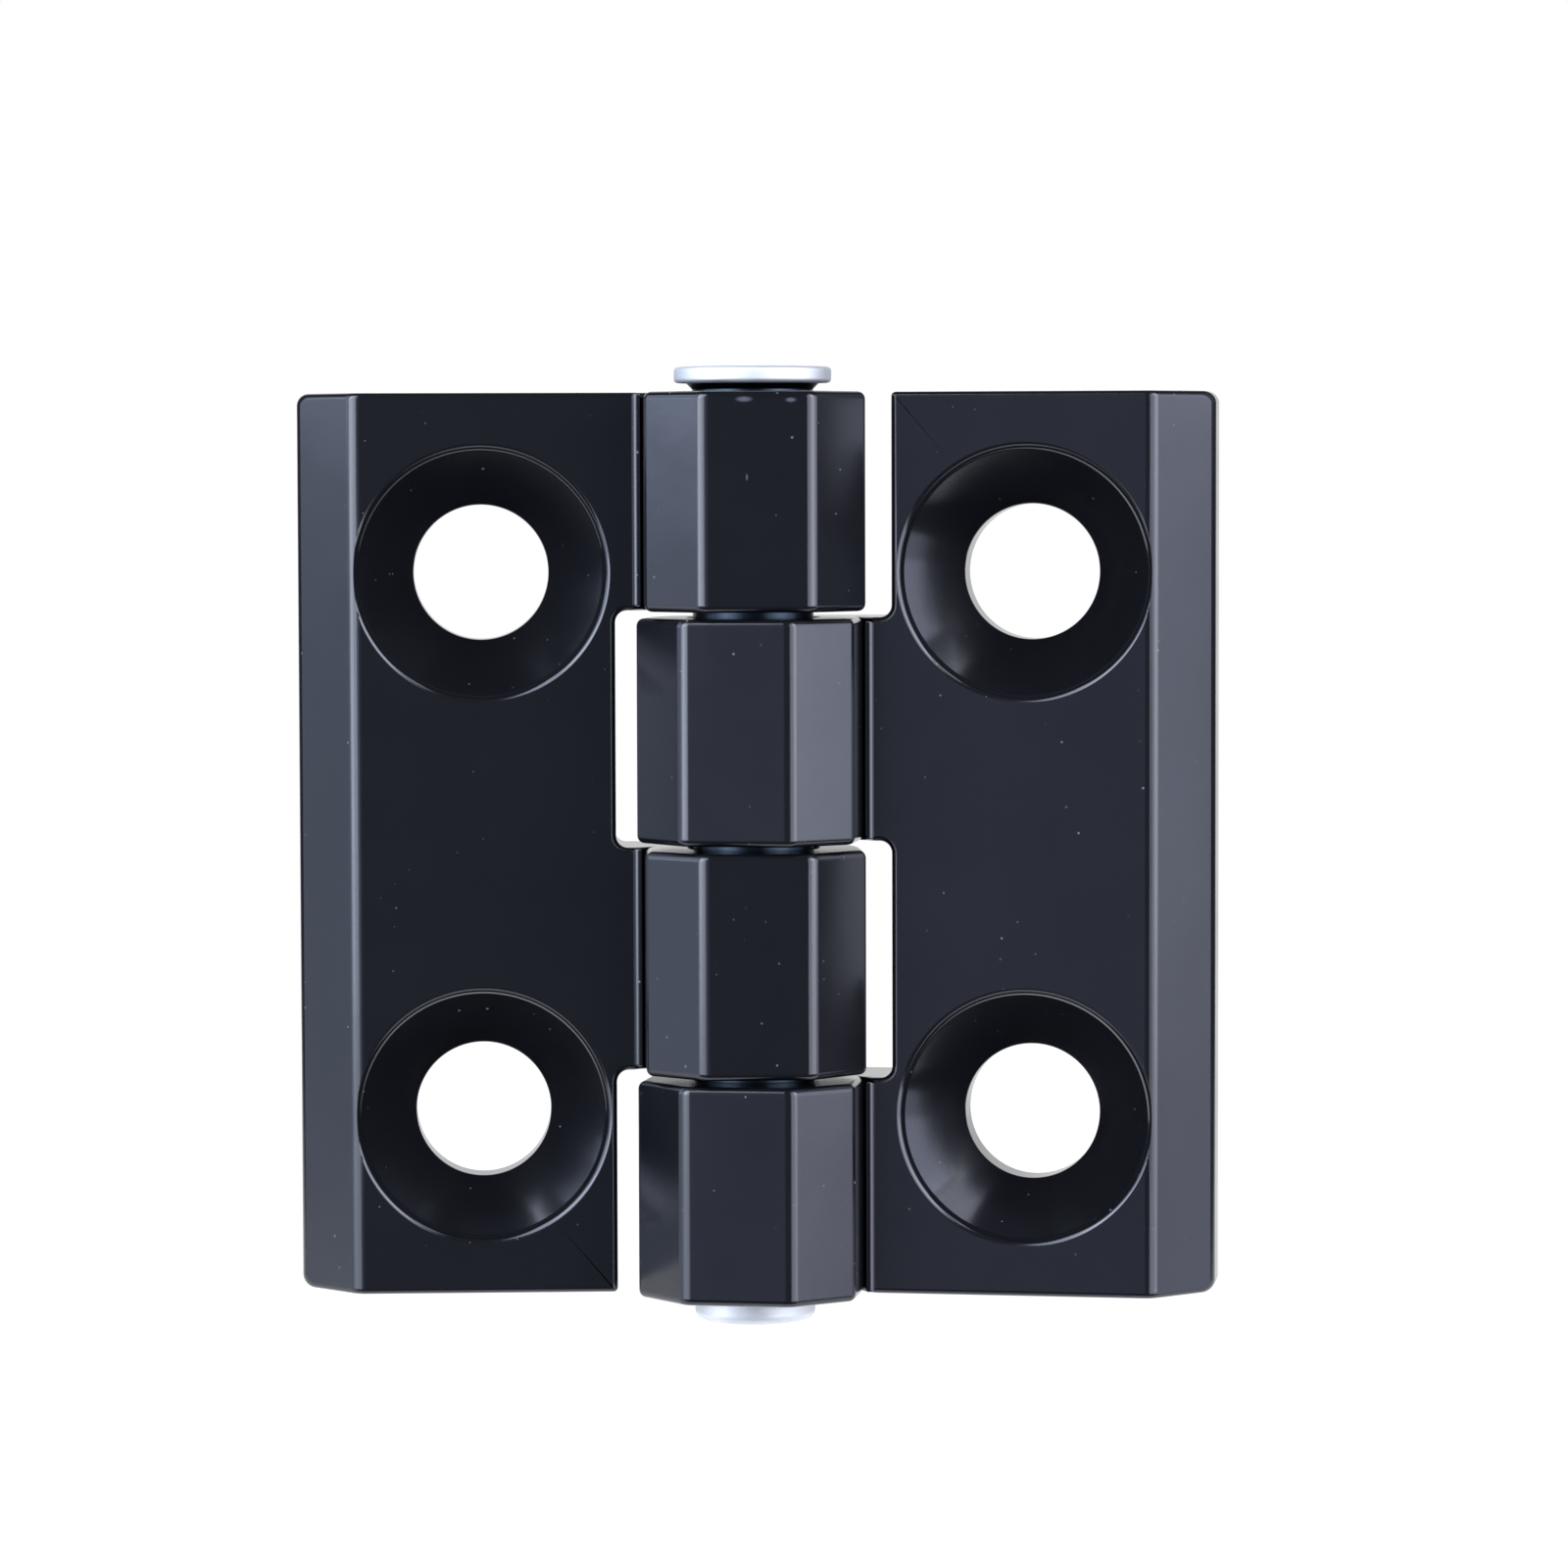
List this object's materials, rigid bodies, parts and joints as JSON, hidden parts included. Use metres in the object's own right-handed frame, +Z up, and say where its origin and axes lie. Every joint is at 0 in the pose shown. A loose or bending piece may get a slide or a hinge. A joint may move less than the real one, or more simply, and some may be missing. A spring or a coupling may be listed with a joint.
{
  "type": "cast butt hinge",
  "caption": "Cast butt hinge for doors and covers: thick countersunk leaves with faceted knuckles turn on a plain through pin.",
  "frame": {"origin": "midway between the fixed leaf's two screw holes, on its mounting face", "axes": "+Z up along the pin, -Y out of the fixed leaf's front face, +X from the fixed leaf towards the moving leaf"},
  "size_m": [0.0613, 0.0148, 0.0632],
  "materials": {
    "powder_coat": "satin black powder coat on die-cast zinc alloy",
    "zinc_plate": "bright zinc-plated turned steel"
  },
  "bodies": {
    "fixed_side": {"fixed_leaf": "powder_coat", "hinge_pin": "zinc_plate"},
    "moving_side": {"moving_leaf": "powder_coat"}
  },
  "joints": [
    {"name": "leaf_swing", "type": "hinge", "parent": "fixed_side", "child": "moving_side", "pos_m": [0.018, -0.00735, 0], "axis": [0, 0, -1], "range_deg": [-102, 165]}
  ]
}
